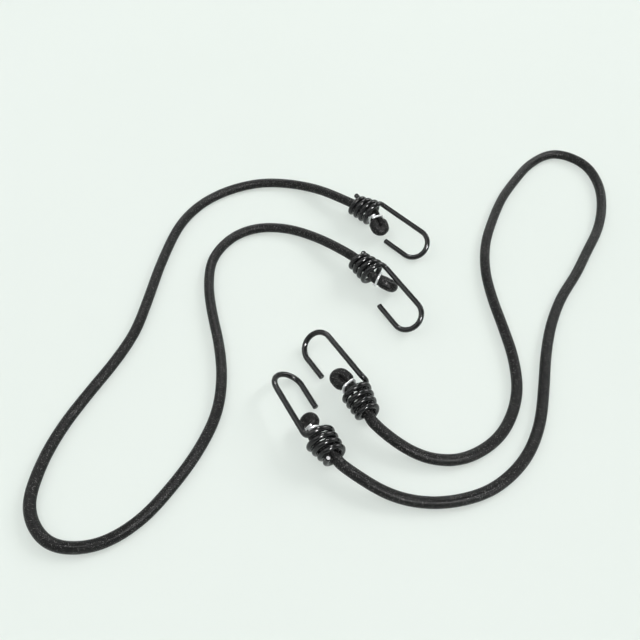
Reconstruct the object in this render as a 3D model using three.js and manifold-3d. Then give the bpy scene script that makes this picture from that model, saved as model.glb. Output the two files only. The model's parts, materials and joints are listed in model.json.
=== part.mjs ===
// A pair of bungee cords lying on a flat surface, in millimetres, +Z up.
// Each cord is a braided sheath over a rubber core. At both ends it passes through the coil of a
// plastic-coated wire hook, is folded back on itself and is held by a metal ring clip.
import * as THREE from 'three';
import { mergeVertices } from 'three/addons/utils/BufferGeometryUtils.js';
import Module from 'manifold-3d';

const wasm = await Module();
wasm.setup();

// Cord
const cordDiameter = 8;
const sheathWall = 1;
const fitGap = 0.3;
const cordSides = 8;
const coreSides = 6;
const cordSteps = 48;
const cordFlatShare = 0.1;

// Hook wire and its coating
const coatedDiameter = 4.2;
const wireDiameter = 2.4;
const coatedSides = 6;
const wireSides = 5;

// Coil, wound as a left-handed cone that is widest at the mouth and leans away from the shank
const mouthRadius = 10.4;
const tailRadius = 7.3;
const coilLength = 22;
const coilSkew = 3.9;
const splitShare = 0.75;
const loopSteps = 16;
const entryBendRadius = 5;
const entrySteps = 4;

// Hook
const shankLength = 46.2;
const hookWidth = 24.6;
const returnLength = 22;
const bendSteps = 8;

// Folded end of the cord
const neckSpacing = 5;
const neckHalfWidth = 2.3;
const legSpacing = 8.3;
const neckToShoulder = 5.6;
const neckToFold = 10;
const neckHalfLength = 2.3;
const foldedEndDepth = 2.6;
const cutEndDepth = 1.5;
const foldSteps = 4;
const foldSides = 8;

// Ring clip
const clipWireDiameter = 1.9;
const clipClearance = 0.45;
const clipOverlap = 3.5;
const clipLoopPoints = 72;
const clipSteps = 20;
const clipSides = 5;

// Rest on the surface
const hookFlatDepth = 0.5;
const nosePitch = THREE.MathUtils.degToRad(2.5);
const straightExit = 6.5;
const surfaceCutMargin = 5;
const restingTries = 40;
const mergeDistance = 0.0001;
const nextTurnShare = 0.7;

const cordRadius = cordDiameter / 2;
const boreRadius = cordRadius - sheathWall;
const coreRadius = boreRadius - fitGap;
const coatedRadius = coatedDiameter / 2;
const wireRadius = wireDiameter / 2;
const wireBoreRadius = wireRadius + fitGap;
const cordRestHeight = cordRadius - cordFlatShare * cordDiameter;

// Where each hook lies: the middle of its coil's mouth, the way it points (degrees from +X),
// the side its shank is on (+1 right, -1 left, seen from behind), the turns of its coil, and its
// coil's and its return leg's share of the usual length.
const hooks = {
  a1: { x: 19.7, y: 108, heading: -43.7, shankSide: -1, turns: 4, coilShare: 1.04, returnShare: 1 },
  a2: { x: 16.2, y: 38.2, heading: -57.1, shankSide: -1, turns: 3.9, coilShare: 1.01, returnShare: 0.99 },
  b1: { x: -4.2, y: -70.4, heading: 123.6, shankSide: 1, turns: 4.25, coilShare: 1, returnShare: 0.89 },
  b2: { x: -31, y: -107.8, heading: 119.2, shankSide: -1, turns: 3.95, coilShare: 0.86, returnShare: 0.95 },
};
// How each folded end lies: the neck's place ahead, left and up of the mouth, further left by a
// share of the mouth's radius to keep its place at the rim, the lean to the left and the left leg's
// rise in degrees, its share of the usual reach, how far its leg spreads in the mouth, and how far
// round the neck its clip's ends meet.
const folds = {
  a1: {
    neck: [4.6, 6.9, -0.7], rimShare: -1, lean: -27, rise: 0,
    reachShare: 0.96, mouthShift: 0.5, clipTurnShare: 0.33,
  },
  a2: {
    neck: [5.2, -5.7, -1], rimShare: 0.5, lean: 28, rise: -38,
    reachShare: 1, mouthShift: 2.4, clipTurnShare: 0.7,
  },
  b1: {
    neck: [4.3, 1.9, -0.7], rimShare: 0, lean: 4, rise: 0,
    reachShare: 1.03, mouthShift: 1.8, clipTurnShare: 0.8,
  },
  b2: {
    neck: [5.9, 6.3, -0.8], rimShare: -0.5, lean: -8, rise: -35,
    reachShare: 0.66, mouthShift: 2.4, clipTurnShare: 0.3,
  },
};
const foldDroop = THREE.MathUtils.degToRad(6);

// The floor route of each cord, chosen by hand from hook to hook.
const routeA = [
  [-17.5, 134.5, 9.2], [-30.2, 143.8, 6.8], [-43.8, 151.6, 4], [-61, 156.2], [-86, 156.8],
  [-115, 147.2], [-139, 129.2], [-155, 104.2],
  [-166, 59.2], [-172, 15.2], [-177, -14.8], [-188, -42.8], [-202, -69.8], [-215, -97.8], [-223, -126.8],
  [-223, -156.8], [-204, -178.8], [-174, -179.8], [-149, -164.8], [-130, -140.8], [-115, -114.8],
  [-105, -85.8], [-104, -55.8], [-109, -25.8], [-117, 3.2], [-123, 33.2], [-122, 63.2], [-106, 88.2],
  [-84, 98.6], [-57.7, 97.1], [-41.7, 90.6, 3.9], [-29.4, 82, 6.4], [-17.9, 72.4, 8.9],
];
const routeB = [
  [21.3, -108.9, 9], [35.4, -117.4, 6], [49.1, -121.5, 3.7], [68.5, -121.6], [89.6, -111.8],
  [104, -97.8], [117, -70.8], [120, -39.8], [117, -9.8],
  [113, 20.2], [112, 50.2], [117, 80.2], [128, 109.2], [141, 136.2], [158, 161.2], [178, 185.2], [204, 199.2],
  [229, 184.2], [236, 154.2], [231, 124.2], [220, 96.2], [204, 70.2], [188, 44.2], [170, 19.2], [156, -7.8],
  [146, -35.8], [138, -65.8], [129, -94.8], [114, -120.8], [91, -140.8], [71.5, -148.8], [48, -152.2],
  [29.5, -150.4, 3.7], [14, -146.1, 6.3], [0.1, -138.6, 9],
];

const materials = {
  sheath: new THREE.MeshStandardMaterial({ color: 0x1a1a1b, roughness: 0.8, metalness: 0 }),
  rubber: new THREE.MeshStandardMaterial({ color: 0x8a7a5c, roughness: 0.7, metalness: 0 }),
  coating: new THREE.MeshStandardMaterial({ color: 0x0c0c0d, roughness: 0.35, metalness: 0 }),
  steel: new THREE.MeshStandardMaterial({ color: 0xb8babd, roughness: 0.35, metalness: 1 }),
  clip: new THREE.MeshStandardMaterial({ color: 0xd4d6d8, roughness: 0.3, metalness: 1 }),
};

// Points of a regular section with its first corner straight up
function sectionPoints(radius, sides) {
  const points = [];
  for (let i = 0; i < sides; i += 1) {
    const angle = (i / sides) * 2 * Math.PI;
    points.push(new THREE.Vector2(radius * Math.sin(angle), radius * Math.cos(angle)));
  }
  return points;
}

// Frames along a line of points, carried from one to the next without twist
function carriedFrames(line, firstUp) {
  const frames = [];
  let up = firstUp.clone();
  for (let i = 0; i < line.length; i += 1) {
    const ahead = line[Math.min(i + 1, line.length - 1)];
    const behind = line[Math.max(i - 1, 0)];
    const tangent = new THREE.Vector3();
    if (ahead !== line[i]) tangent.add(ahead.clone().sub(line[i]).normalize());
    if (behind !== line[i]) tangent.add(line[i].clone().sub(behind).normalize());
    tangent.normalize();
    up = up.clone().addScaledVector(tangent, -up.dot(tangent)).normalize();
    frames.push({ origin: line[i], side: new THREE.Vector3().crossVectors(tangent, up), up });
  }
  return frames;
}

// A closed solid swept along frames. widths gives the section's sideways share at each frame,
// and a bore leaves a hole with open ends.
function sweep(frames, radius, sides, bore = null, widths = null) {
  const positions = [];
  const indices = [];
  const outline = sectionPoints(radius, sides);
  const hole = bore ? sectionPoints(bore.radius, bore.sides) : [];
  const ringSize = outline.length + hole.length;
  frames.forEach((frame, row) => {
    const share = widths ? widths[row] : 1;
    for (const point of [...outline, ...hole]) {
      const corner = frame.origin.clone();
      corner.addScaledVector(frame.side, point.x * share);
      corner.addScaledVector(frame.up, point.y);
      positions.push(corner.x, corner.y, corner.z);
    }
  });
  const wall = (start, count, inward) => {
    for (let row = 0; row + 1 < frames.length; row += 1) {
      for (let i = 0; i < count; i += 1) {
        const a = row * ringSize + start + i;
        const b = row * ringSize + start + ((i + 1) % count);
        const c = b + ringSize;
        const d = a + ringSize;
        if (inward) indices.push(a, c, b, a, d, c);
        else indices.push(a, b, c, a, c, d);
      }
    }
  };
  wall(0, outline.length, false);
  if (hole.length) wall(outline.length, hole.length, true);
  const caps = THREE.ShapeUtils.triangulateShape(outline, hole.length ? [hole] : []);
  const last = (frames.length - 1) * ringSize;
  for (const [a, b, c] of caps) {
    indices.push(a, b, c);
    indices.push(last + a, last + c, last + b);
  }
  const geometry = new THREE.BufferGeometry();
  geometry.setAttribute('position', new THREE.Float32BufferAttribute(positions, 3));
  geometry.setIndex(indices);
  return geometry;
}

function solidOf(geometry) {
  const plain = geometry.clone();
  plain.deleteAttribute('normal');
  plain.deleteAttribute('uv');
  const merged = mergeVertices(plain, mergeDistance);
  return new wasm.Manifold(new wasm.Mesh({
    numProp: 3,
    vertProperties: new Float32Array(merged.attributes.position.array),
    triVerts: new Uint32Array(merged.index.array),
  }));
}

function geometryOf(solid) {
  const mesh = solid.getMesh();
  const geometry = new THREE.BufferGeometry();
  geometry.setAttribute('position', new THREE.Float32BufferAttribute(mesh.vertProperties, 3));
  geometry.setIndex(Array.from(mesh.triVerts));
  return geometry;
}

// The piece with all that lies under the surface cut away, which leaves a flat to rest on
function cutAtSurface(geometry) {
  geometry.computeBoundingBox();
  const box = geometry.boundingBox;
  const size = box.getSize(new THREE.Vector3()).addScalar(2 * surfaceCutMargin);
  const centre = box.getCenter(new THREE.Vector3());
  const block = new THREE.BoxGeometry(size.x, size.y, size.z);
  block.translate(centre.x, centre.y, -size.z / 2);
  return geometryOf(solidOf(geometry).subtract(solidOf(block)));
}

// The hook wire's centreline in the hook's own frame: +X runs along the shank to the bend, +Y is
// the shank's side, and the middle of the coil's mouth is the origin.
function hookLine(place) {
  const bendRadius = hookWidth / 2;
  const returnOffset = mouthRadius - hookWidth;
  const tip = shankLength - place.returnShare * returnLength;
  const points = [new THREE.Vector3(tip, returnOffset, 0)];
  for (let i = 0; i <= bendSteps; i += 1) {
    const angle = (i / bendSteps) * Math.PI;
    const across = returnOffset + bendRadius * (1 - Math.cos(angle));
    points.push(new THREE.Vector3(shankLength + bendRadius * Math.sin(angle), across, 0));
  }
  // The shank turns into the first loop on an arc that lies on the mouth's cylinder.
  for (let i = 0; i < entrySteps; i += 1) {
    const angle = (i / entrySteps) * (Math.PI / 2);
    const around = (entryBendRadius * (1 - Math.cos(angle))) / mouthRadius;
    const ahead = entryBendRadius * (1 - Math.sin(angle));
    points.push(new THREE.Vector3(ahead, mouthRadius * Math.cos(around), mouthRadius * Math.sin(around)));
  }
  const entryAngle = entryBendRadius / mouthRadius;
  const loops = Math.round(place.turns * loopSteps);
  for (let i = 0; i <= loops; i += 1) {
    const share = i / loops;
    const angle = entryAngle + share * (place.turns * 2 * Math.PI - entryAngle);
    const radius = mouthRadius + share * (tailRadius - mouthRadius);
    const across = radius * Math.cos(angle) - share * coilSkew;
    points.push(new THREE.Vector3(-share * place.coilShare * coilLength, across, radius * Math.sin(angle)));
  }
  // The cut end runs straight on for one wire diameter.
  const end = points[points.length - 1];
  const onward = end.clone().sub(points[points.length - 2]).normalize();
  points.push(end.clone().addScaledVector(onward, coatedDiameter));
  return points;
}

// The hook's directions on the surface: forward along the shank, and the shank's side rolled up
function hookAxes(place, roll) {
  const heading = THREE.MathUtils.degToRad(place.heading);
  const level = Math.cos(nosePitch);
  const forward = new THREE.Vector3(Math.cos(heading) * level, Math.sin(heading) * level, 0);
  forward.z = -Math.sin(nosePitch);
  const right = new THREE.Vector3(Math.sin(heading), -Math.cos(heading), 0);
  const up = new THREE.Vector3().crossVectors(right, forward);
  const shank = right.clone().multiplyScalar(place.shankSide * Math.cos(roll));
  shank.addScaledVector(up, Math.sin(roll));
  const normal = new THREE.Vector3().crossVectors(forward, shank);
  const coilLine = forward.clone().multiplyScalar(place.coilShare * coilLength);
  coilLine.addScaledVector(shank, coilSkew);
  return { forward, right, up, shank, normal, coilLine };
}

function lowest(points, axes) {
  let low = Infinity;
  for (const point of points) {
    low = Math.min(low, point.x * axes.forward.z + point.y * axes.shank.z + point.z * axes.normal.z);
  }
  return low;
}

// The roll at which the coil and the hook's return leg both touch the surface
function restingHook(place, line) {
  const bendRow = bendSteps + 2;
  const legPoints = line.slice(0, bendRow);
  const coilPoints = line.slice(bendRow);
  let low = 0;
  let high = Math.PI / 2;
  for (let i = 0; i < restingTries; i += 1) {
    const roll = (low + high) / 2;
    const axes = hookAxes(place, roll);
    if (lowest(legPoints, axes) > lowest(coilPoints, axes)) low = roll;
    else high = roll;
  }
  const axes = hookAxes(place, (low + high) / 2);
  const height = coatedRadius - hookFlatDepth - lowest(coilPoints, axes);
  return { ...axes, mouth: new THREE.Vector3(place.x, place.y, height) };
}

// A point given ahead, left and up of the mouth
function beside(hook, ahead, left, up) {
  const point = hook.mouth.clone();
  point.addScaledVector(hook.forward, ahead);
  point.addScaledVector(hook.right, -left);
  point.addScaledVector(hook.up, up);
  return point;
}

// A point on the coil's middle line, at a share of its length behind the mouth and then a distance
// towards the mouth, moved aside along a direction
function inCoil(hook, share, ahead, direction = hook.up, distance = 0) {
  const point = hook.mouth.clone().addScaledVector(hook.coilLine, -share);
  point.addScaledVector(hook.coilLine.clone().normalize(), ahead);
  return point.addScaledVector(direction, distance);
}

// A direction turned by an angle towards another one square to it
function turned(direction, other, angle) {
  return direction.clone().multiplyScalar(Math.cos(angle)).addScaledVector(other, Math.sin(angle));
}

// The folded end's directions: along the fold, across its two legs, over them, and across the mouth
function foldAxes(fold, hook) {
  const lean = THREE.MathUtils.degToRad(fold.lean);
  const rise = THREE.MathUtils.degToRad(fold.rise);
  const level = turned(hook.forward, hook.right, -lean);
  const left = turned(hook.right, hook.forward, lean).negate();
  const along = turned(level, hook.up, -foldDroop);
  const above = turned(hook.up, level, foldDroop);
  const across = turned(left, above, rise);
  const over = turned(above, left, -rise);
  const inMouth = turned(hook.right.clone().negate(), hook.up, rise);
  const [ahead, aside, height] = fold.neck;
  const neck = beside(hook, ahead, aside + fold.rimShare * mouthRadius, height);
  return { neck, along, across, over, inMouth };
}

// The folded end: the cord leaves the coil, turns back beside itself and ends in the mouth.
function foldRows(fold, hook) {
  const axes = foldAxes(fold, hook);
  const side = fold.lean < 0 ? 1 : -1;
  const neckHalf = neckSpacing / 2;
  const legHalf = legSpacing / 2;
  const neckShare = neckHalfWidth / cordRadius;
  const rows = [];
  const addInCoil = (depthShare, ahead, across, share) => {
    rows.push({ point: inCoil(hook, depthShare, ahead, axes.inMouth, across), share });
  };
  const onFold = (along, across, share) => {
    const point = axes.neck.clone().addScaledVector(axes.along, along).addScaledVector(axes.across, across);
    rows.push({ point, share });
  };
  const foldReach = fold.reachShare * neckToFold;
  addInCoil(splitShare, fitGap, 0, 1);
  addInCoil(splitShare, cordRadius, 0, 1);
  addInCoil(0, -foldedEndDepth, side * (neckHalf + fold.mouthShift), neckShare);
  onFold(-neckHalfLength, side * neckHalf, neckShare);
  onFold(neckHalfLength, side * neckHalf, neckShare);
  onFold(neckToShoulder, side * legHalf, 1);
  for (let i = 0; i <= foldSteps; i += 1) {
    const angle = (i / foldSteps) * Math.PI;
    onFold(foldReach + legHalf * Math.sin(angle), side * legHalf * Math.cos(angle), 1);
  }
  onFold(neckToShoulder, -side * legHalf, 1);
  onFold(neckHalfLength, -side * neckHalf, neckShare);
  onFold(-neckHalfLength, -side * neckHalf, neckShare);
  addInCoil(0, -cutEndDepth, -side * (neckHalf - fitGap), neckShare);
  return rows;
}

// The clip's path round the two legs, as a closed loop of [across, over] points
function clipLoop() {
  const offset = clipClearance + clipWireDiameter / 2;
  const halfWide = neckHalfWidth + offset;
  const halfHigh = cordRadius + offset;
  const loop = [];
  for (let i = 0; i <= clipLoopPoints; i += 1) {
    const angle = (i / clipLoopPoints) * 2 * Math.PI;
    const across = Math.sign(Math.cos(angle)) * (neckSpacing / 2) + halfWide * Math.cos(angle);
    loop.push(new THREE.Vector3(across, halfHigh * Math.sin(angle), 0));
  }
  return loop;
}

// The ring clip: a little over one turn of wire, its two ends side by side
function clipLine(fold, hook) {
  const axes = foldAxes(fold, hook);
  const loop = clipLoop();
  const lengths = [0];
  for (let i = 1; i < loop.length; i += 1) lengths.push(lengths[i - 1] + loop[i].distanceTo(loop[i - 1]));
  const around = lengths[lengths.length - 1];
  const wireLength = around + clipOverlap;
  const rise = ((clipWireDiameter + fitGap) * wireLength) / around;
  const points = [];
  for (let i = 0; i <= clipSteps; i += 1) {
    const share = i / clipSteps;
    const travelled = fold.clipTurnShare * around - clipOverlap / 2 + share * wireLength;
    const reach = ((travelled % around) + around) % around;
    const row = Math.max(1, lengths.findIndex((length) => length >= reach));
    const part = (reach - lengths[row - 1]) / (lengths[row] - lengths[row - 1]);
    const spot = loop[row - 1].clone().lerp(loop[row], part);
    const point = axes.neck.clone().addScaledVector(axes.along, (share - 1 / 2) * rise);
    points.push(point.addScaledVector(axes.across, spot.x).addScaledVector(axes.over, spot.y));
  }
  return points;
}

// The least gap between two turns of the coil, measured on its points
function leastCoilGap(line) {
  const coil = line.slice(bendSteps + 2 + entrySteps);
  let least = Infinity;
  for (let i = 0; i < coil.length; i += 1) {
    for (let j = i + Math.round(loopSteps * nextTurnShare); j < coil.length; j += 1) {
      least = Math.min(least, coil[i].distanceTo(coil[j]) - coatedDiameter);
    }
  }
  return least;
}

const group = new THREE.Group();

function addPiece(name, geometry, material) {
  geometry.computeVertexNormals();
  const mesh = new THREE.Mesh(geometry, materials[material]);
  mesh.name = name;
  group.add(mesh);
}

function addHook(name, place, fold) {
  const line = hookLine(place);
  const hook = restingHook(place, line);
  const inPlace = (point) => {
    const placed = hook.mouth.clone();
    placed.addScaledVector(hook.forward, point.x);
    placed.addScaledVector(hook.shank, point.y);
    placed.addScaledVector(hook.normal, point.z);
    return placed;
  };
  const wireFrames = carriedFrames(line.map(inPlace), hook.normal);
  const wireBore = { radius: wireBoreRadius, sides: wireSides };
  const coating = sweep(wireFrames, coatedRadius, coatedSides, wireBore);
  addPiece(`hook_${name}_coating`, cutAtSurface(coating), 'coating');
  addPiece(`hook_${name}_wire`, sweep(wireFrames, wireRadius, wireSides), 'steel');

  const rows = foldRows(fold, hook);
  const foldFrames = carriedFrames(rows.map((row) => row.point), foldAxes(fold, hook).over);
  const widths = rows.map((row) => row.share);
  const cordBore = { radius: boreRadius, sides: coreSides };
  const foldedSheath = sweep(foldFrames, cordRadius, foldSides, cordBore, widths);
  addPiece(`cord_${name}_folded_sheath`, foldedSheath, 'sheath');
  addPiece(`cord_${name}_folded_core`, sweep(foldFrames, coreRadius, coreSides, null, widths), 'rubber');

  const clipFrames = carriedFrames(clipLine(fold, hook), hook.forward);
  addPiece(`clip_${name}`, sweep(clipFrames, clipWireDiameter / 2, clipSides), 'clip');
  return hook;
}

// The free run of a cord, from inside one coil's tail, along the surface, to inside the other's
function addCord(name, route, first, last) {
  const exitPoints = (hook) => {
    return [inCoil(hook, splitShare, 0), inCoil(hook, 1, 0), inCoil(hook, 1, -straightExit)];
  };
  const floorPoints = route.map(([x, y, z = cordRestHeight]) => new THREE.Vector3(x, y, z));
  const points = [...exitPoints(first), ...floorPoints, ...exitPoints(last).reverse()];
  const path = new THREE.CatmullRomCurve3(points, false, 'centripetal');
  const section = new THREE.Shape(sectionPoints(cordRadius, cordSides));
  section.holes.push(new THREE.Path(sectionPoints(boreRadius, coreSides).reverse()));
  const settings = { steps: cordSteps, bevelEnabled: false, extrudePath: path };
  addPiece(`cord_${name}_sheath`, cutAtSurface(new THREE.ExtrudeGeometry(section, settings)), 'sheath');
  const coreSection = new THREE.Shape(sectionPoints(coreRadius, coreSides));
  addPiece(`cord_${name}_core`, new THREE.ExtrudeGeometry(coreSection, settings), 'rubber');
  console.log(`cord ${name} is ${path.getLength().toFixed(1)} mm long between its coils`);
}

const placed = {};
for (const name of Object.keys(hooks)) placed[name] = addHook(name, hooks[name], folds[name]);
addCord('a', routeA, placed.a1, placed.a2);
addCord('b', routeB, placed.b1, placed.b2);
const leastGap = Math.min(...Object.values(hooks).map((place) => leastCoilGap(hookLine(place))));
console.log(`least gap between the turns of a coil: ${leastGap.toFixed(2)} mm`);

export default group;
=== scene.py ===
"""A pair of bungee cords on a pale surface: braided elastic cords with coiled, coated wire hooks."""
import json

import bpy
import numpy as np
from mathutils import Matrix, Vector


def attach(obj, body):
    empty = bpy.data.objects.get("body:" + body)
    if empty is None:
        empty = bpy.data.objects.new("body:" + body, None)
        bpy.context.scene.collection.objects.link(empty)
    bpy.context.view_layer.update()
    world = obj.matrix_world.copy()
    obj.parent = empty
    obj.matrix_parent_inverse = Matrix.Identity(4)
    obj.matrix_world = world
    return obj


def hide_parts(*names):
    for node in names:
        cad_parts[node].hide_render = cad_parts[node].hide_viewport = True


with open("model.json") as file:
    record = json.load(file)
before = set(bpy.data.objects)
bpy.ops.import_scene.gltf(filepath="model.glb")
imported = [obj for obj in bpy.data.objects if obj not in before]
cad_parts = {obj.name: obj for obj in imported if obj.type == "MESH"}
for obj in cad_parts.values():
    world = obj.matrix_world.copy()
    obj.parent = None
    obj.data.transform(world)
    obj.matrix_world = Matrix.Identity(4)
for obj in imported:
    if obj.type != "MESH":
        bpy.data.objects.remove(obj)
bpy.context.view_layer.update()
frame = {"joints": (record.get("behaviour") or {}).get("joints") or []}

MM = 0.001

# The photograph's view: its width and focal length in pixels, and where the camera stands
PHOTO_WIDTH = 640
FOCAL_LENGTH = 617
SENSOR_WIDTH = 36
CAMERA_ELEVATION = np.radians(55)
CAMERA_DISTANCE = 502 * MM
CAMERA_TARGET = Vector((-29.5 * MM, -0.6 * MM, 0))
NEAREST_SEEN = 10 * MM

# Cord
CORD_DIAMETER = 8 * MM
SHEATH_WALL = 1.0 * MM
SHEATH_BORE = CORD_DIAMETER / 2 - SHEATH_WALL
CORE_RADIUS = SHEATH_BORE - 0.05 * MM
FIT_GAP = 0.3 * MM
REST_HEIGHT = 3.2 * MM
STRAIGHT_EXIT = 6.5 * MM

# Hook wire and coil
COATED_RADIUS = 2.17 * MM
WIRE_RADIUS = 1.3 * MM
COATING_BORE = WIRE_RADIUS + 0.02 * MM
MOUTH_RADIUS = 10.4 * MM
TAIL_RADIUS = 7.3 * MM
COIL_LENGTH = 22 * MM
COIL_SKEW = 3.9 * MM
NOSE_PITCH = np.radians(2.5)
ENTRY_BEND_RADIUS = 5 * MM
SHANK_LENGTH = 46.2 * MM
HOOK_WIDTH = 24.6 * MM
RETURN_LENGTH = 22 * MM
TIP_BEAD = 0.8 * MM
SPLIT_SHARE = 0.75
# How uneven the dipped coating is, and over how many rows of points
UNEVENNESS = 0.05 * MM
UNEVEN_ROWS = 41
# Where the first rows of the tip and the last ones past the coil are, in millimetres, and the
# coating's radius there as shares of its usual radius
TIP_PLACES = (0, 0.1, 0.3, 0.6)
TIP_SHARES = (0.8, 0.9, 0.975)
CUT_PLACES = (1, 2, 3, 3.8, 4.1, 4.2)
CUT_SHARES = (0.985, 0.94, 0.86)
# Points along the hook's line
RETURN_POINTS = 24
BEND_POINTS = 49
SHANK_POINTS = 42
ENTRY_POINTS = 14
TURN_POINTS = 56

# Folded end and its clip
NECK_SPACING = 5 * MM
NECK_HALF_WIDTH = 2.3 * MM
LEG_SPACING = 8.1 * MM
NECK_TO_SHOULDER = 5.6 * MM
NECK_TO_FOLD = 10 * MM
NECK_HALF_LENGTH = 2.3 * MM
FOLDED_END_DEPTH = 2.6 * MM
CUT_END_DEPTH = 1.5 * MM
FOLD_DROOP = np.radians(6)
FOLD_POINTS = 9
# The neck's width in the middle of the clip, as a share of its width beside it
NECK_WAIST = 0.97
CLIP_RADIUS = 0.95 * MM
CLIP_CLEARANCE = 0.15 * MM
CLIP_OVERLAP = 3.5 * MM
CLIP_LOOP_POINTS = 289
CLIP_ROWS = 97
CLIP_END_SHARES = (0.86, 0.97)

# How finely the tubes are cut: the sides round them and the steps along them
CORD_SIDES = 56
CORD_STEP = 0.55 * MM
CORD_CORE_STEP = 4 * MM
FOLD_SIDES = 64
FOLD_STEP = 0.35 * MM
FOLD_CORE_STEP = 1.2 * MM
CORE_SIDES = 24
COATING_SIDES = 28
WIRE_SIDES = 20
SHARP_ANGLE = np.radians(50)
TUBE_UV = "along"

# Each hook: the way it points, its coil's turns, and its coil's and return leg's share of the usual
# length. Then its folded end: the neck's place ahead, left and up of the mouth, the lean, the left
# leg's rise, the share of the usual reach, how far its leg spreads in the mouth, and how far round
# the neck the clip's ends meet.
HOOKS = {
    "a1": dict(heading=-43.7, turns=4, coil_share=1.04, return_share=1, neck=(4.6, -3.5, -0.7),
               lean=-27, rise=0, reach_share=0.96, mouth_shift=0.5, clip_turn=0.33),
    "a2": dict(heading=-57.1, turns=3.9, coil_share=1.01, return_share=0.99, neck=(5.2, -0.5, -1),
               lean=28, rise=-38, reach_share=1, mouth_shift=2.4, clip_turn=0.7),
    "b1": dict(heading=123.6, turns=4.25, coil_share=1, return_share=0.89, neck=(4.3, 1.9, -0.7),
               lean=4, rise=0, reach_share=1.03, mouth_shift=1.8, clip_turn=0.8),
    "b2": dict(heading=119.2, turns=3.95, coil_share=0.86, return_share=0.95, neck=(5.9, 1.1, -0.8),
               lean=-8, rise=-35, reach_share=0.66, mouth_shift=2.4, clip_turn=0.3),
}
# The hook whose steel shows at the coil's cut end
BARE_END = "b2"

# The floor routes, in millimetres, the same points as the solids follow
ROUTE_A = [
    (-17.5, 134.5, 9.2), (-30.2, 143.8, 6.8), (-43.8, 151.6, 4), (-61, 156.2), (-86, 156.8),
    (-115, 147.2), (-139, 129.2), (-155, 104.2),
    (-166, 59.2), (-172, 15.2), (-177, -14.8), (-188, -42.8), (-202, -69.8), (-215, -97.8),
    (-223, -126.8), (-223, -156.8), (-204, -178.8), (-174, -179.8), (-149, -164.8), (-130, -140.8),
    (-115, -114.8), (-105, -85.8), (-104, -55.8), (-109, -25.8), (-117, 3.2), (-123, 33.2),
    (-122, 63.2), (-106, 88.2),
    (-84, 98.6), (-57.7, 97.1), (-41.7, 90.6, 3.9), (-29.4, 82, 6.4), (-17.9, 72.4, 8.9),
]
ROUTE_B = [
    (21.3, -108.9, 9), (35.4, -117.4, 6), (49.1, -121.5, 3.7), (68.5, -121.6), (89.6, -111.8),
    (104, -97.8), (117, -70.8), (120, -39.8), (117, -9.8),
    (113, 20.2), (112, 50.2), (117, 80.2), (128, 109.2), (141, 136.2), (158, 161.2), (178, 185.2),
    (204, 199.2), (229, 184.2), (236, 154.2), (231, 124.2), (220, 96.2), (204, 70.2), (188, 44.2),
    (170, 19.2), (156, -7.8), (146, -35.8), (138, -65.8), (129, -94.8), (114, -120.8), (91, -140.8),
    (71.5, -148.8), (48, -152.2),
    (29.5, -150.4, 3.7), (14, -146.1, 6.3), (0.1, -138.6, 9),
]


def make_camera():
    """The camera at the photograph's viewing angle."""
    data = bpy.data.cameras.new("camera")
    data.sensor_width = SENSOR_WIDTH
    data.lens = FOCAL_LENGTH / PHOTO_WIDTH * SENSOR_WIDTH
    data.clip_start = NEAREST_SEEN
    camera = bpy.data.objects.new("camera", data)
    bpy.context.collection.objects.link(camera)
    behind = -np.cos(CAMERA_ELEVATION) * CAMERA_DISTANCE
    above = np.sin(CAMERA_ELEVATION) * CAMERA_DISTANCE
    camera.location = CAMERA_TARGET + Vector((0, behind, above))
    camera.rotation_euler = (np.pi / 2 - CAMERA_ELEVATION, 0, 0)
    bpy.context.scene.camera = camera


def unit(v):
    return v / np.linalg.norm(v, axis=-1, keepdims=True)


def smooth_route(points, steps=24):
    """The centripetal Catmull-Rom curve through the points, as the solids have it."""
    points = np.array(points, float)
    padded = np.vstack([2 * points[0] - points[1], points, 2 * points[-1] - points[-2]])
    out = []
    for i in range(len(points) - 1):
        p0, p1, p2, p3 = padded[i:i + 4]
        d0, d1, d2 = (np.linalg.norm(b - a) ** 0.5 for a, b in ((p0, p1), (p1, p2), (p2, p3)))
        t1 = ((p1 - p0) / d0 - (p2 - p0) / (d0 + d1) + (p2 - p1) / d1) * d1
        t2 = ((p2 - p1) / d1 - (p3 - p1) / (d1 + d2) + (p3 - p2) / d2) * d1
        for k in range(steps):
            u = k / steps
            h = (2 * u**3 - 3 * u**2 + 1, u**3 - 2 * u**2 + u, -2 * u**3 + 3 * u**2, u**3 - u**2)
            out.append(h[0] * p1 + h[1] * t1 + h[2] * p2 + h[3] * t2)
    out.append(points[-1])
    return np.array(out)


def lengths_along(line):
    """How far along the line each of its points is."""
    return np.concatenate([[0], np.cumsum(np.linalg.norm(np.diff(line, axis=0), axis=1))])


def even_steps(line, step):
    """The line walked at an even step, and how far along it each point is."""
    lengths = lengths_along(line)
    count = max(2, int(round(lengths[-1] / step)) + 1)
    along = np.linspace(0, lengths[-1], count)
    return np.stack([np.interp(along, lengths, line[:, i]) for i in range(3)], 1), along


def eased(line, reach, held):
    """The line with its small unevenness smoothed away, and its ends held for some rows."""
    kernel = np.exp(-0.5 * (np.arange(-3 * reach, 3 * reach + 1) / reach) ** 2)
    kernel /= kernel.sum()
    padded = np.pad(line, ((3 * reach, 3 * reach), (0, 0)), mode="edge")
    soft = np.stack([np.convolve(padded[:, i], kernel, mode="valid") for i in range(3)], 1)
    rows = np.arange(len(line))
    near_end = np.minimum(rows, rows[::-1])
    share = np.clip((near_end - held) / (3 * reach), 0, 1)[:, None]
    return line * (1 - share) + soft * share


def carried_frames(line, first_up):
    """Side and up vectors along the line, carried on without twist."""
    tangents = unit(np.gradient(line, axis=0))
    ups = np.zeros_like(line)
    up = np.array(first_up, float)
    for i, tangent in enumerate(tangents):
        up = up - up.dot(tangent) * tangent
        up /= np.linalg.norm(up)
        ups[i] = up
    return np.cross(tangents, ups), ups


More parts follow.
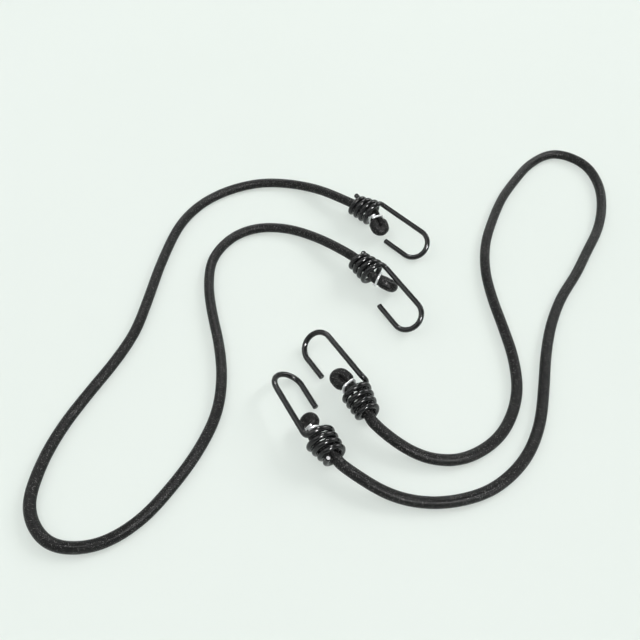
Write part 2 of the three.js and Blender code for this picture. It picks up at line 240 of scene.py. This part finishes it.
def tube(name, line, first_up, radius, around, bore=None, bore_stride=1, widths=None, covered=(0, 0)):
    """A closed tube along the line. radius is a number or an array, with a row for each point of the
    line and a column for each point round it. A bore leaves an end open, or closed where it begins
    or stops some covered rows short of it."""
    sides, ups = carried_frames(line, first_up)
    angles = np.linspace(0, 2 * np.pi, around, endpoint=False)
    widths = np.ones(len(line)) if widths is None else widths

    def ring_points(rows, across, over):
        sideways = across[..., None] * sides[rows, None]
        upwards = over[..., None] * ups[rows, None]
        return (line[rows, None] + sideways + upwards).reshape(-1, 3)

    radius = np.broadcast_to(radius, (len(line), around))
    across = radius * np.sin(angles)[None, :] * widths[:, None]
    verts = ring_points(np.arange(len(line)), across, radius * np.cos(angles)[None, :])
    faces = ring_faces(len(line), around, 0)
    start, last = len(verts), len(verts) - around
    ends = []
    if bore:
        last_row = len(line) - 1 - covered[1]
        rows = np.unique(np.append(np.arange(covered[0], last_row, bore_stride), last_row))
        across = bore * np.sin(angles)[None, :] * widths[rows, None]
        over = np.broadcast_to(bore * np.cos(angles)[None, :], across.shape)
        verts = np.vstack([verts, ring_points(rows, across, over)])
        faces = np.vstack([faces, ring_faces(len(rows), around, start)[:, ::-1]])
        i = np.arange(around)
        j = (i + 1) % around
        inner_last = len(verts) - around
        if covered[0]:
            ends.append(tuple(range(start, start + around)))
        else:
            faces = np.vstack([faces, np.stack([j, i, start + i, start + j], 1)])
        if covered[1]:
            ends.append(tuple(range(inner_last, inner_last + around))[::-1])
        else:
            rim = np.stack([last + i, last + j, inner_last + j, inner_last + i], 1)
            faces = np.vstack([faces, rim])
    if not bore or covered[0]:
        ends.append(tuple(range(around))[::-1])
    if not bore or covered[1]:
        ends.append(tuple(range(last, start)))
    mesh = bpy.data.meshes.new(name)
    mesh.from_pydata(verts.tolist(), [], [tuple(f) for f in faces.tolist()] + ends)
    add_tube_uv(mesh, line, around)
    mesh.update()
    obj = bpy.data.objects.new(name, mesh)
    bpy.context.collection.objects.link(obj)
    return obj


def ring_faces(rows, around, start):
    """Quads between rings of points, facing out."""
    i = np.arange(around)
    j = (i + 1) % around
    row = (start + np.arange(rows - 1) * around)[:, None]
    quads = np.stack([row + i, row + around + i, row + around + j, row + j], 2)
    return quads.reshape(-1, 4)[:, ::-1]


def add_tube_uv(mesh, line, around):
    """u is the share round the tube and v the metres along it."""
    rows = len(line)
    layer = mesh.uv_layers.new(name=TUBE_UV)
    loops = np.zeros(len(mesh.loops), np.int32)
    mesh.loops.foreach_get("vertex_index", loops)
    outer = loops < rows * around
    column = loops % around
    row = np.where(outer, loops // around, 0)
    uv = np.stack([column / around, lengths_along(line)[row]], 1)
    # A quad that closes the ring runs on to 1 and not back to 0.
    starts = np.zeros(len(mesh.polygons), np.int32)
    counts = np.zeros(len(mesh.polygons), np.int32)
    mesh.polygons.foreach_get("loop_start", starts)
    mesh.polygons.foreach_get("loop_total", counts)
    quads = starts[counts == 4]
    cells = quads[:, None] + np.arange(4)
    closing = (column[cells] == around - 1).any(1) & (column[cells] == 0).any(1)
    wrapped = cells[closing]
    first = column[wrapped] == 0
    uv[wrapped[first], 0] = 1.0
    layer.data.foreach_set("uv", uv.astype(np.float32).ravel())


def shade_smooth(obj):
    obj.data.polygons.foreach_set("use_smooth", np.ones(len(obj.data.polygons), bool))
    obj.data.set_sharp_from_angle(angle=SHARP_ANGLE)


def clamp_to_floor(obj):
    """What would reach under the surface lies flat on it."""
    co = np.zeros(len(obj.data.vertices) * 3)
    obj.data.vertices.foreach_get("co", co)
    co = co.reshape(-1, 3)
    co[:, 2] = np.maximum(co[:, 2], 0)
    obj.data.vertices.foreach_set("co", co.ravel())
    obj.data.update()


# Node helpers

class Nodes:
    """A small builder for one node tree."""

    def __init__(self, tree):
        self.tree = tree

    def add(self, kind, **settings):
        node = self.tree.nodes.new(kind)
        for key, value in settings.items():
            setattr(node, key, value)
        return node

    def link(self, source, target):
        self.tree.links.new(source, target)

    def object_place(self):
        return self.add("ShaderNodeTexCoord").outputs["Object"]

    def split(self, vector):
        node = self.add("ShaderNodeSeparateXYZ")
        self.link(vector, node.inputs[0])
        return node.outputs

    def tube_place(self):
        """The share round the tube and the metres along it."""
        parts = self.split(self.add("ShaderNodeUVMap", uv_map=TUBE_UV).outputs["UV"])
        return parts["X"], parts["Y"]

    def stretched(self, vector, scale):
        node = self.add("ShaderNodeMapping")
        node.inputs["Scale"].default_value = scale
        self.link(vector, node.inputs["Vector"])
        return node.outputs["Vector"]

    def math(self, operation, *values):
        node = self.add("ShaderNodeMath", operation=operation)
        for value, socket in zip(values, node.inputs):
            if isinstance(value, (int, float)):
                socket.default_value = value
            else:
                self.link(value, socket)
        return node.outputs[0]

    def weighted(self, first, *others):
        """The first value, plus each of the others times its weight."""
        total = first
        for value, weight in others:
            total = self.math("ADD", total, self.math("MULTIPLY", value, weight))
        return total

    def noise(self, vector, scale, detail, roughness):
        node = self.add("ShaderNodeTexNoise")
        node.inputs["Scale"].default_value = scale
        node.inputs["Detail"].default_value = detail
        node.inputs["Roughness"].default_value = roughness
        self.link(vector, node.inputs["Vector"])
        return node.outputs["Fac"]

    def ramp(self, factor, stops):
        node = self.add("ShaderNodeValToRGB")
        elements = node.color_ramp.elements
        while len(elements) < len(stops):
            elements.new(0.5)
        for element, (place, colour) in zip(elements, stops):
            element.position = place
            element.color = (*colour, 1)
        self.link(factor, node.inputs["Fac"])
        return node.outputs["Color"]

    def map_range(self, value, source, target):
        """The value, with the source's two bounds moved to the target's."""
        node = self.add("ShaderNodeMapRange")
        node.inputs["From Min"].default_value, node.inputs["From Max"].default_value = source
        node.inputs["To Min"].default_value, node.inputs["To Max"].default_value = target
        self.link(value, node.inputs["Value"])
        return node.outputs["Result"]

    def bump(self, height, distance, strength, normal=None):
        node = self.add("ShaderNodeBump")
        node.inputs["Distance"].default_value = distance
        node.inputs["Strength"].default_value = strength
        self.link(height, node.inputs["Height"])
        if normal is not None:
            self.link(normal, node.inputs["Normal"])
        return node.outputs["Normal"]


def new_material(name):
    """A material, the builder for its nodes, and its shader's sockets."""
    material = bpy.data.materials.new(name)
    material.use_nodes = True
    tree = material.node_tree
    return material, Nodes(tree), tree.nodes["Principled BSDF"].inputs


# The braid: strands in two directions, each over two and under two of the others
STRANDS = 16
BRAID_STEP = 26 * MM
BRAID_RELIEF = 0.13 * MM
SHEATH_RADIUS = CORD_DIAMETER / 2 + 0.15 * MM
YARNS_PER_STRAND = 4
# The crossings repeat after four strands, and a left-hand strand lies on top in the first two of
# them. The shift keeps their count above nought.
CROSSINGS = 4
LEFT_ON_TOP = 1.5
CROSSING_SHIFT = 400


def braid_radius(line, around):
    """The sheath's outside with its strands raised, one row for each point of the line."""
    u = np.linspace(0, 1, around, endpoint=False)[None, :] * STRANDS
    v = (lengths_along(line) * STRANDS / BRAID_STEP)[:, None]
    right, left = u + v, u - v
    cell = np.mod(np.floor(right) + np.floor(left) + CROSSING_SHIFT, CROSSINGS)
    on_top = np.where(cell < LEFT_ON_TOP, np.mod(left, 1), np.mod(right, 1))
    return SHEATH_RADIUS - BRAID_RELIEF * (1 - np.sin(np.pi * on_top))


def braid_material():
    """Matt black yarn, with painted shade in the hollows between the strands so that the raised strands
    show lighter, and light flecks that are painted glints of the yarn.
    """
    material, nodes, sockets = new_material("braid")
    u, v = nodes.tube_place()
    around = nodes.math("MULTIPLY", u, STRANDS)
    along = nodes.math("MULTIPLY", v, STRANDS / BRAID_STEP)
    right = nodes.math("ADD", around, along)
    left = nodes.math("SUBTRACT", around, along)
    crossing = nodes.math("ADD", nodes.math("FLOOR", right), nodes.math("FLOOR", left))
    cell = nodes.math("MODULO", nodes.math("ADD", crossing, CROSSING_SHIFT), CROSSINGS)
    left_on_top = nodes.math("LESS_THAN", cell, LEFT_ON_TOP)
    right_on_top = nodes.math("SUBTRACT", 1, left_on_top)

    def on_top(of_left, of_right):
        shown_left = nodes.math("MULTIPLY", of_left, left_on_top)
        return nodes.math("ADD", shown_left, nodes.math("MULTIPLY", of_right, right_on_top))

    def ridge(strands):
        return nodes.math("SINE", nodes.math("MULTIPLY", nodes.math("FRACT", strands), np.pi))

    def yarns(strands):
        return nodes.math("SINE", nodes.math("MULTIPLY", strands, 2 * np.pi * YARNS_PER_STRAND))

    strand = on_top(ridge(left), ridge(right))
    yarn = on_top(yarns(left), yarns(right))
    place = nodes.object_place()
    fibre = nodes.noise(place, scale=2600, detail=3, roughness=0.6)
    patch = nodes.noise(place, scale=45, detail=3, roughness=0.5)
    fleck = nodes.noise(place, scale=820, detail=2, roughness=0.65)
    # Painted glints: the brightest flecks of noise are lightened in the colour to stand for the glints
    # of the yarn.
    painted_glint_fleck = nodes.map_range(fleck, (0.5, 0.68), (-0.08, 0.42))
    # The raised strands are lighter in the colour, which paints shade into the hollows between them;
    # the fibres and patches vary the tone at random.
    tone = nodes.weighted(painted_glint_fleck, (strand, 0.5), (fibre, 0.4), (patch, 0.15))
    colour = nodes.ramp(tone, [
        (0.2, (0.0012, 0.0012, 0.0015)),
        (0.55, (0.0035, 0.0035, 0.0037)),
        (0.8, (0.014, 0.014, 0.0138)),
        (1.0, (0.12, 0.119, 0.115)),
    ])
    nodes.link(colour, sockets["Base Color"])
    nodes.link(nodes.map_range(fleck, (0.35, 0.65), (0.38, 0.2)), sockets["Roughness"])
    sockets["Specular IOR Level"].default_value = 0.17
    height = nodes.weighted(strand, (yarn, 0.12), (fibre, 0.35))
    nodes.link(nodes.bump(height, distance=0.14 * MM, strength=0.75), sockets["Normal"])
    return material


def coating_material():
    """Black dipped plastic: soft gloss, faint ripples, worn patches and hair scratches."""
    material, nodes, sockets = new_material("coating")
    place = nodes.object_place()
    ripple = nodes.noise(place, scale=220, detail=2, roughness=0.4)
    grain = nodes.noise(place, scale=1800, detail=4, roughness=0.6)
    worn = nodes.noise(place, scale=60, detail=5, roughness=0.6)
    scratch = nodes.noise(nodes.stretched(place, (1, 9, 3)), scale=700, detail=6, roughness=0.75)
    colour = nodes.ramp(worn, [
        (0.3, (0.003, 0.0031, 0.0036)),
        (0.6, (0.006, 0.006, 0.0067)),
        (0.85, (0.014, 0.014, 0.015)),
    ])
    nodes.link(colour, sockets["Base Color"])
    worn_rough = nodes.map_range(worn, (0.3, 0.75), (0.11, 0.2))
    scratch_rough = nodes.map_range(scratch, (0.45, 0.8), (0, 0.2))
    nodes.link(nodes.math("ADD", worn_rough, scratch_rough), sockets["Roughness"])
    soft = nodes.bump(ripple, distance=0.05 * MM, strength=0.5)
    fine = nodes.bump(grain, distance=0.012 * MM, strength=0.5, normal=soft)
    nodes.link(fine, sockets["Normal"])
    return material


def metal_material(name, dark, light, rough, cloud_scale, metallic):
    """Bare or plated metal with drawn lines and a cloudy finish."""
    material, nodes, sockets = new_material(name)
    place = nodes.object_place()
    cloud = nodes.noise(place, scale=cloud_scale, detail=4, roughness=0.6)
    lines = nodes.noise(nodes.stretched(place, (1, 1, 12)), scale=900, detail=3, roughness=0.7)
    nodes.link(nodes.ramp(cloud, [(0.3, dark), (0.75, light)]), sockets["Base Color"])
    sockets["Metallic"].default_value = metallic
    roughness = nodes.map_range(lines, (0.3, 0.7), (rough * 0.75, rough * 1.35))
    nodes.link(roughness, sockets["Roughness"])
    nodes.link(nodes.bump(lines, distance=0.02 * MM, strength=0.5), sockets["Normal"])
    return material


THREADS = 22


def rubber_material():
    """Natural latex threads, side by side along the cord."""
    material, nodes, sockets = new_material("rubber")
    around, _ = nodes.tube_place()
    threads = nodes.math("SINE", nodes.math("MULTIPLY", around, 2 * np.pi * THREADS))
    cloud = nodes.noise(nodes.object_place(), scale=160, detail=4, roughness=0.6)
    colour = nodes.ramp(cloud, [(0.3, (0.30, 0.22, 0.12)), (0.7, (0.52, 0.42, 0.27))])
    nodes.link(colour, sockets["Base Color"])
    nodes.link(nodes.map_range(cloud, (0.3, 0.7), (0.5, 0.75)), sockets["Roughness"])
    nodes.link(nodes.bump(threads, distance=0.15 * MM, strength=0.9), sockets["Normal"])
    return material


# Hook geometry

def hook_frame(name):
    """The hook's place and directions. The coil's axis and tail are the swivel's."""
    joint = next(j for j in frame["joints"] if j["name"] == f"hook_{name}_swivel")
    tail = np.array(joint["pos_m"], float)
    coil_axis = unit(np.array(joint["axis"], float))
    heading = np.radians(HOOKS[name]["heading"])
    level = np.cos(NOSE_PITCH)
    forward = np.array((np.cos(heading) * level, np.sin(heading) * level, -np.sin(NOSE_PITCH)))
    right = np.array((np.sin(heading), -np.cos(heading), 0))
    up = np.cross(right, forward)
    length = HOOKS[name]["coil_share"] * COIL_LENGTH
    slant = np.hypot(length, COIL_SKEW)
    shank = coil_axis * slant - forward * length
    shank = unit(shank - shank.dot(forward) * forward)
    return dict(
        mouth=tail + slant * coil_axis, forward=forward, right=right, up=up, shank=shank,
        normal=np.cross(forward, shank), coil_axis=coil_axis, length=length, slant=slant,
    )


def in_coil(hook, share, ahead=0.0, direction=(0, 0, 0), distance=0.0):
    """A point on the coil's middle line, at a share of its length behind the mouth and then a
    distance towards the mouth, moved aside along a direction."""
    on_axis = ahead - share * hook["slant"]
    return hook["mouth"] + on_axis * hook["coil_axis"] + distance * np.array(direction)


def hook_line(name, hook):
    """The wire's centreline, from the hook's tip round the bend and the coil to its cut end."""
    turns = HOOKS[name]["turns"]
    bend = HOOK_WIDTH / 2
    back = MOUTH_RADIUS - HOOK_WIDTH
    tip = SHANK_LENGTH - HOOKS[name]["return_share"] * RETURN_LENGTH - TIP_BEAD
    points = [(tip + near * MM, back, 0) for near in TIP_PLACES]
    points += [(x, back, 0) for x in np.linspace(tip + 1 * MM, SHANK_LENGTH, RETURN_POINTS)]
    for angle in np.linspace(0, np.pi, BEND_POINTS)[1:]:
        points.append((SHANK_LENGTH + bend * np.sin(angle), back + bend * (1 - np.cos(angle)), 0))
    for x in np.linspace(SHANK_LENGTH, ENTRY_BEND_RADIUS, SHANK_POINTS)[1:]:
        points.append((x, MOUTH_RADIUS, 0))
    for angle in np.linspace(0, np.pi / 2, ENTRY_POINTS)[1:]:
        turn = ENTRY_BEND_RADIUS * (1 - np.cos(angle)) / MOUTH_RADIUS
        ahead = ENTRY_BEND_RADIUS * (1 - np.sin(angle))
        points.append((ahead, MOUTH_RADIUS * np.cos(turn), MOUTH_RADIUS * np.sin(turn)))
    entry = ENTRY_BEND_RADIUS / MOUTH_RADIUS
    for share in np.linspace(0, 1, int(turns * TURN_POINTS))[1:]:
        angle = entry + share * (turns * 2 * np.pi - entry)
        radius = MOUTH_RADIUS + share * (TAIL_RADIUS - MOUTH_RADIUS)
        across = radius * np.cos(angle) - share * COIL_SKEW
        points.append((-share * hook["length"], across, radius * np.sin(angle)))
    points = np.array(points)
    onward = unit(points[-1] - points[-2])
    end = points[-1] + onward * np.array(CUT_PLACES)[:, None] * MM
    points = np.vstack([points, end])
    axes = np.stack([hook["forward"], hook["shank"], hook["normal"]])
    return hook["mouth"] + points @ axes


def fold_axes(name, hook):
    """The neck, and the directions along the fold, across its two legs, over them and in the mouth."""
    place = HOOKS[name]
    lean, rise = np.radians(place["lean"]), np.radians(place["rise"])
    forward, right, up = hook["forward"], hook["right"], hook["up"]
    level = forward * np.cos(lean) - right * np.sin(lean)
    left = -forward * np.sin(lean) - right * np.cos(lean)
    above = level * np.sin(FOLD_DROOP) + up * np.cos(FOLD_DROOP)
    ahead, aside, height = (v * MM for v in place["neck"])
    return dict(
        neck=hook["mouth"] + ahead * forward - aside * right + height * up,
        along=level * np.cos(FOLD_DROOP) - up * np.sin(FOLD_DROOP),
        across=left * np.cos(rise) + above * np.sin(rise),
        over=-left * np.sin(rise) + above * np.cos(rise),
        in_mouth=-right * np.cos(rise) + up * np.sin(rise),
    )


def fold_rows(name, hook):
    """Points and width shares of the folded end, from inside the coil round the fold to the cut end."""
    axes = fold_axes(name, hook)
    place = HOOKS[name]
    side = 1 if place["lean"] < 0 else -1
    neck, leg = NECK_SPACING / 2, LEG_SPACING / 2
    squeezed = NECK_HALF_WIDTH / (CORD_DIAMETER / 2)
    waist = squeezed * NECK_WAIST
    fold = place["reach_share"] * NECK_TO_FOLD
    rows = []

    def inside(depth_share, ahead, across, share):
        rows.append((*in_coil(hook, depth_share, ahead, axes["in_mouth"], across), share))

    def on_fold(along, across, share):
        rows.append((*(axes["neck"] + along * axes["along"] + across * axes["across"]), share))

    inside(SPLIT_SHARE, FIT_GAP, 0, 1)
    inside(SPLIT_SHARE, 2 * MM, 0, 1)
    inside(SPLIT_SHARE, CORD_DIAMETER / 2, 0, 1)
    inside(0, -FOLDED_END_DEPTH, side * (neck + place["mouth_shift"] * MM), squeezed)
    on_fold(-NECK_HALF_LENGTH, side * neck, squeezed)
    on_fold(0, side * neck, waist)
    on_fold(NECK_HALF_LENGTH, side * neck, squeezed)
    on_fold(NECK_TO_SHOULDER, side * leg, 1)
    for angle in np.linspace(0, np.pi, FOLD_POINTS):
        on_fold(fold + leg * np.sin(angle), side * leg * np.cos(angle), 1)
    on_fold(NECK_TO_SHOULDER, -side * leg, 1)
    on_fold(NECK_HALF_LENGTH, -side * neck, squeezed)
    on_fold(0, -side * neck, waist)
    on_fold(-NECK_HALF_LENGTH, -side * neck, squeezed)
    inside(0, -CUT_END_DEPTH, -side * (neck - FIT_GAP), squeezed)
    return np.array(rows), axes


def clip_line(name, hook):
    """A little over one turn of wire round the neck, its two ends side by side."""
    axes = fold_axes(name, hook)
    offset = CLIP_CLEARANCE + CLIP_RADIUS
    angles = np.linspace(0, 2 * np.pi, CLIP_LOOP_POINTS)
    across = np.sign(np.round(np.cos(angles), 9)) * NECK_SPACING / 2
    across = across + (NECK_HALF_WIDTH + offset) * np.cos(angles)
    over = (CORD_DIAMETER / 2 + offset) * np.sin(angles)
    lengths = np.concatenate([[0], np.cumsum(np.hypot(np.diff(across), np.diff(over)))])
    full = lengths[-1]
    wire = full + CLIP_OVERLAP
    rise = (2 * CLIP_RADIUS + FIT_GAP) * wire / full
    share = np.linspace(0, 1, CLIP_ROWS)
    reach = (HOOKS[name]["clip_turn"] * full - CLIP_OVERLAP / 2 + share * wire) % full
    across, over = np.interp(reach, lengths, across), np.interp(reach, lengths, over)
    steps = np.stack([(share - 0.5) * rise, across, over], 1)
    return axes["neck"] + steps @ np.stack([axes["along"], axes["across"], axes["over"]])


def finish_piece(obj, body, slot, node, looks):
    """The piece rides on the body, in its slot's material, and stands for the node."""
    shade_smooth(obj)
    obj.data.materials.append(looks[slot])
    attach(obj, body)
    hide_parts(node)


def make_hook(name, looks):
    hook = hook_frame(name)
    body = f"hook_{name}"
    line = hook_line(name, hook)
    rows = len(line)
    tip_rows = len(TIP_SHARES) + 1
    cut_rows = 0 if name == BARE_END else len(CUT_SHARES)
    # The coating's unevenness is the same each run, and each hook has its own.
    rng = np.random.default_rng(sum(map(ord, name)))
    draws = rng.normal(0, 1, rows + UNEVEN_ROWS - 1)
    uneven = np.convolve(draws, np.ones(UNEVEN_ROWS) / UNEVEN_ROWS, mode="valid")
    radius = COATED_RADIUS + UNEVENNESS * uneven[:, None]
    radius[:len(TIP_SHARES)] *= np.array(TIP_SHARES)[:, None]
    radius[-len(CUT_SHARES):] *= np.array(CUT_SHARES)[:, None]
    coating = tube(f"{body}_coating_fine", line, hook["normal"], radius, COATING_SIDES,
                   COATING_BORE, bore_stride=6, covered=(tip_rows, cut_rows))
    clamp_to_floor(coating)
    finish_piece(coating, body, "coating", f"{body}_coating", looks)
    # The wire follows every other row, up to where the coating is closed over it.
    wire_rows = np.unique(np.append(np.arange(tip_rows + 1, rows - 5, 2), rows - 1 - cut_rows))
    wire = tube(f"{body}_wire_fine", line[wire_rows], hook["normal"], WIRE_RADIUS, WIRE_SIDES)
    finish_piece(wire, body, "steel_wire", f"{body}_wire", looks)
    make_folded_end(name, hook, body, looks)
    radius = np.full((CLIP_ROWS, 1), CLIP_RADIUS)
    for i, share in enumerate(CLIP_END_SHARES):
        radius[[i, -1 - i]] *= share
    clip = tube(f"clip_{name}_fine", clip_line(name, hook), hook["forward"], radius, WIRE_SIDES)
    finish_piece(clip, body, "clip_metal", f"clip_{name}", looks)


def make_folded_end(name, hook, body, looks):
    rows, axes = fold_rows(name, hook)
    path = smooth_route(rows[:, :3], steps=10)
    lengths = lengths_along(path)
    parts = np.linspace(0, len(rows) - 1, len(path))
    shares = np.interp(parts, np.arange(len(rows)), rows[:, 3])
    line, along = even_steps(path, FOLD_STEP)
    radius = braid_radius(line, FOLD_SIDES)
    sheath = tube(f"cord_{name}_folded_sheath_fine", line, axes["over"], radius, FOLD_SIDES,
                  SHEATH_BORE, bore_stride=8, widths=np.interp(along, lengths, shares))
    finish_piece(sheath, body, "braid", f"cord_{name}_folded_sheath", looks)
    line, along = even_steps(path, FOLD_CORE_STEP)
    line, along = line[1:-1], along[1:-1]
    core = tube(f"cord_{name}_folded_core_fine", line, axes["over"], CORE_RADIUS, CORE_SIDES,
                widths=np.interp(along, lengths, shares))
    finish_piece(core, body, "rubber", f"cord_{name}_folded_core", looks)


def cord_line(name, route):
    """The cord's middle line, from its parting in the first coil to the one in the second."""
    first, last = hook_frame(f"{name}1"), hook_frame(f"{name}2")

    def exit_points(hook):
        return [in_coil(hook, SPLIT_SHARE), in_coil(hook, 1), in_coil(hook, 1, -STRAIGHT_EXIT)]

    floor = [np.array((x * MM, y * MM, z[0] * MM if z else REST_HEIGHT)) for x, y, *z in route]
    route = smooth_route(exit_points(first) + floor + exit_points(last)[::-1])
    line, _ = even_steps(route, CORD_STEP)
    line, _ = even_steps(eased(line, reach=12, held=14), CORD_STEP)
    return line


def make_cord(name, route, looks):
    line = cord_line(name, route)
    radius = braid_radius(line, CORD_SIDES)
    sheath = tube(f"cord_{name}_sheath_fine", line, (0, 0, 1), radius, CORD_SIDES, SHEATH_BORE,
                  bore_stride=20)
    clamp_to_floor(sheath)
    finish_piece(sheath, "cords", "braid", f"cord_{name}_sheath", looks)
    core_line, _ = even_steps(line[2:-2], CORD_CORE_STEP)
    core = tube(f"cord_{name}_core_fine", core_line, (0, 0, 1), CORE_RADIUS, CORE_SIDES)
    clamp_to_floor(core)
    finish_piece(core, "cords", "rubber", f"cord_{name}_core", looks)


# The stage

FLOOR_HALF_WIDTH = 3
FLOOR_DARK = (0.79, 0.845, 0.805)
FLOOR_LIGHT = (0.81, 0.86, 0.825)
SURROUND_COLOUR = (0.955, 1, 0.97)
SURROUND_BRIGHT_SIDE = (-0.45, 0.8, 0.4)
SURROUND_LEVELS = (0.02, 0.42)
BACKDROP_LEVEL = 0.84
BACKDROP_FADE = (0.28, 0.4)

# The lamps: a bearing from +X and a height in degrees, the side of the square in metres and the power
# in watts. Only the key casts a shadow. The fill throws no reflection, and the sheen, over the camera,
# is seen in reflections alone.
LAMP_DISTANCE = 8
LAMPS = {
    "key": dict(bearing=35, height=30, size=3.4, power=200, shadow=True),
    "glint_back": dict(bearing=95, height=42, size=1.2, power=250),
    "softbox_left": dict(bearing=175, height=52, size=5.5, power=145),
    "fill_front": dict(bearing=275, height=27, size=1.1, power=310, glossy=False),
    "sheen_front": dict(bearing=296, height=57, size=0.9, power=800, diffuse=False),
}


def make_floor():
    """A plain pale surface."""
    mesh = bpy.data.meshes.new("floor")
    half = FLOOR_HALF_WIDTH
    corners = [(-half, -half, 0), (half, -half, 0), (half, half, 0), (-half, half, 0)]
    mesh.from_pydata(corners, [], [(0, 1, 2, 3)])
    floor = bpy.data.objects.new("floor", mesh)
    bpy.context.collection.objects.link(floor)
    material, nodes, sockets = new_material("floor")
    cloud = nodes.noise(nodes.object_place(), scale=2.2, detail=2, roughness=0.5)
    nodes.link(nodes.ramp(cloud, [(0.2, FLOOR_DARK), (0.8, FLOOR_LIGHT)]), sockets["Base Color"])
    sockets["Roughness"].default_value = 0.6
    sockets["Specular IOR Level"].default_value = 0
    mesh.materials.append(material)


def make_surround():
    """A soft light from behind and the left, which falls off towards the front."""
    world = bpy.data.worlds.new("surround")
    bpy.context.scene.world = world
    world.use_nodes = True
    nodes = Nodes(world.node_tree)
    background = world.node_tree.nodes["Background"].inputs
    background["Color"].default_value = (*SURROUND_COLOUR, 1)
    place = nodes.add("ShaderNodeTexCoord").outputs["Generated"]
    facing = nodes.add("ShaderNodeVectorMath", operation="DOT_PRODUCT")
    facing.inputs[1].default_value = tuple(unit(np.array(SURROUND_BRIGHT_SIDE)))
    nodes.link(place, facing.inputs[0])
    light = nodes.map_range(facing.outputs["Value"], (-1, 1), SURROUND_LEVELS)
    # Where it is looked at, low down, a pale backdrop stands behind the floor.
    ray = nodes.add("ShaderNodeLightPath").outputs
    seen = nodes.math("MAXIMUM", ray["Is Camera Ray"], ray["Is Glossy Ray"])
    seen = nodes.math("MAXIMUM", seen, ray["Is Transmission Ray"])
    low = nodes.map_range(nodes.split(place)["Z"], BACKDROP_FADE, (1, 0))
    backdrop = nodes.math("MULTIPLY", seen, low)
    shown = nodes.math("MULTIPLY", backdrop, nodes.math("SUBTRACT", BACKDROP_LEVEL, light))
    nodes.link(nodes.math("ADD", light, shown), background["Strength"])


def make_lamp(name, bearing, height, size, power, shadow=False, glossy=True, diffuse=True):
    """A square area lamp that faces the origin."""
    data = bpy.data.lights.new(name, "AREA")
    data.shape = "RECTANGLE"
    data.size = data.size_y = size
    data.energy = power
    data.use_shadow = shadow
    lamp = bpy.data.objects.new(name, data)
    bpy.context.collection.objects.link(lamp)
    bearing, height = np.radians(bearing), np.radians(height)
    level = LAMP_DISTANCE * np.cos(height)
    lamp.location = (level * np.cos(bearing), level * np.sin(bearing), LAMP_DISTANCE * np.sin(height))
    lamp.rotation_euler = (-lamp.location).to_track_quat("-Z", "Y").to_euler()
    lamp.visible_glossy = glossy
    lamp.visible_diffuse = diffuse


def main():
    make_camera()
    looks = {
        "braid": braid_material(),
        "coating": coating_material(),
        "steel_wire": metal_material("steel_wire", dark=(0.42, 0.42, 0.43), light=(0.72, 0.72, 0.73),
                                     rough=0.32, cloud_scale=300, metallic=1),
        "clip_metal": metal_material("clip_metal", dark=(0.7, 0.71, 0.72), light=(0.93, 0.94, 0.95),
                                     rough=0.3, cloud_scale=420, metallic=0.7),
        "rubber": rubber_material(),
    }
    make_cord("a", ROUTE_A, looks)
    make_cord("b", ROUTE_B, looks)
    for name in HOOKS:
        make_hook(name, looks)
    make_floor()
    make_surround()
    for name, lamp in LAMPS.items():
        make_lamp(name, **lamp)
    bpy.context.scene.view_settings.view_transform = "Standard"


main()
